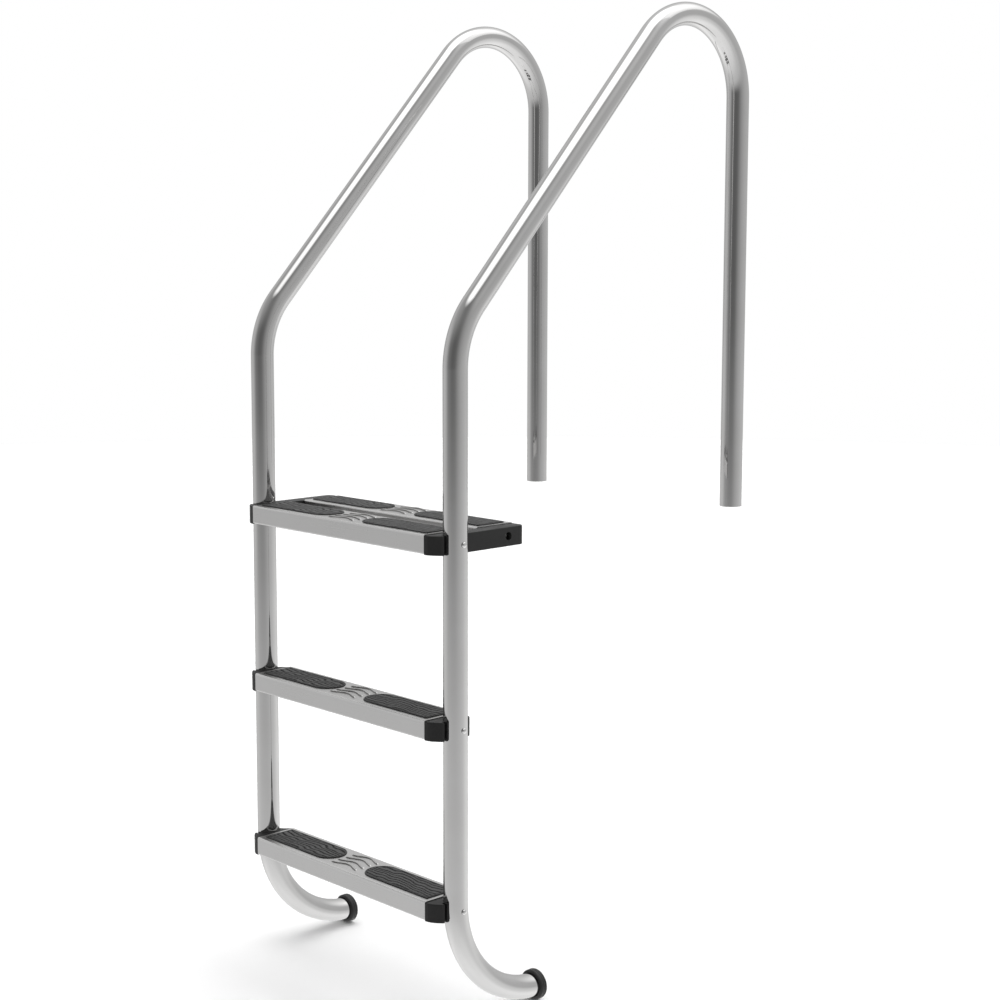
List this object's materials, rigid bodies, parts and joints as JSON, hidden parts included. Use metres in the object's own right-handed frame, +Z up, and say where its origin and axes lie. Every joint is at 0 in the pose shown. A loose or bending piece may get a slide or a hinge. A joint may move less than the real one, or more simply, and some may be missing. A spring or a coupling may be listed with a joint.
{
  "type": "pool ladder",
  "caption": "Deck-mounted pool ladder: two bent steel rails with wall bumpers, a double safety top step and single steps, all with black end mouldings and non-slip pads.",
  "frame": {"origin": "bottom centre of the whole ladder's box: midway between the rails in X, midway between the step fronts and the back of the deck legs in Y, on the underside of the wall bumpers in Z", "axes": "+Z up along the stiles, +Y from the water towards the deck, +X across the steps to the right of somebody climbing out"},
  "size_m": [0.5516, 0.7512, 1.6882],
  "materials": {
    "rail_steel": "mirror-polished stainless steel tube",
    "step_steel": "satin stainless steel sheet, folded",
    "black_plastic": "moulded black plastic, fine texture",
    "pad_rubber": "charcoal non-slip pad with wavy ribs",
    "bumper_rubber": "black rubber",
    "fixing_steel": "bright stainless fixings"
  },
  "bodies": {
    "root": {"rail_left": "rail_steel", "bumper_left": "bumper_rubber", "side_plate_left": "black_plastic", "end_cap_middle_left": "black_plastic", "end_cap_bottom_left": "black_plastic", "step_screw_top_left": "fixing_steel", "step_nut_top_left": "fixing_steel", "step_screw_middle_left": "fixing_steel", "step_nut_middle_left": "fixing_steel", "step_screw_bottom_left": "fixing_steel", "step_nut_bottom_left": "fixing_steel", "rear_step_screw_left": "fixing_steel", "rear_step_nut_left": "fixing_steel", "pad_top_front_left": "pad_rubber", "pad_top_rear_left": "pad_rubber", "pad_middle_left": "pad_rubber", "pad_bottom_left": "pad_rubber", "rail_right": "rail_steel", "bumper_right": "bumper_rubber", "side_plate_right": "black_plastic", "end_cap_middle_right": "black_plastic", "end_cap_bottom_right": "black_plastic", "step_screw_top_right": "fixing_steel", "step_nut_top_right": "fixing_steel", "step_screw_middle_right": "fixing_steel", "step_nut_middle_right": "fixing_steel", "step_screw_bottom_right": "fixing_steel", "step_nut_bottom_right": "fixing_steel", "rear_step_screw_right": "fixing_steel", "rear_step_nut_right": "fixing_steel", "pad_top_front_right": "pad_rubber", "pad_top_rear_right": "pad_rubber", "pad_middle_right": "pad_rubber", "pad_bottom_right": "pad_rubber", "step_top_front": "step_steel", "step_top_rear": "step_steel", "step_middle": "step_steel", "step_bottom": "step_steel"}
  },
  "joints": []
}
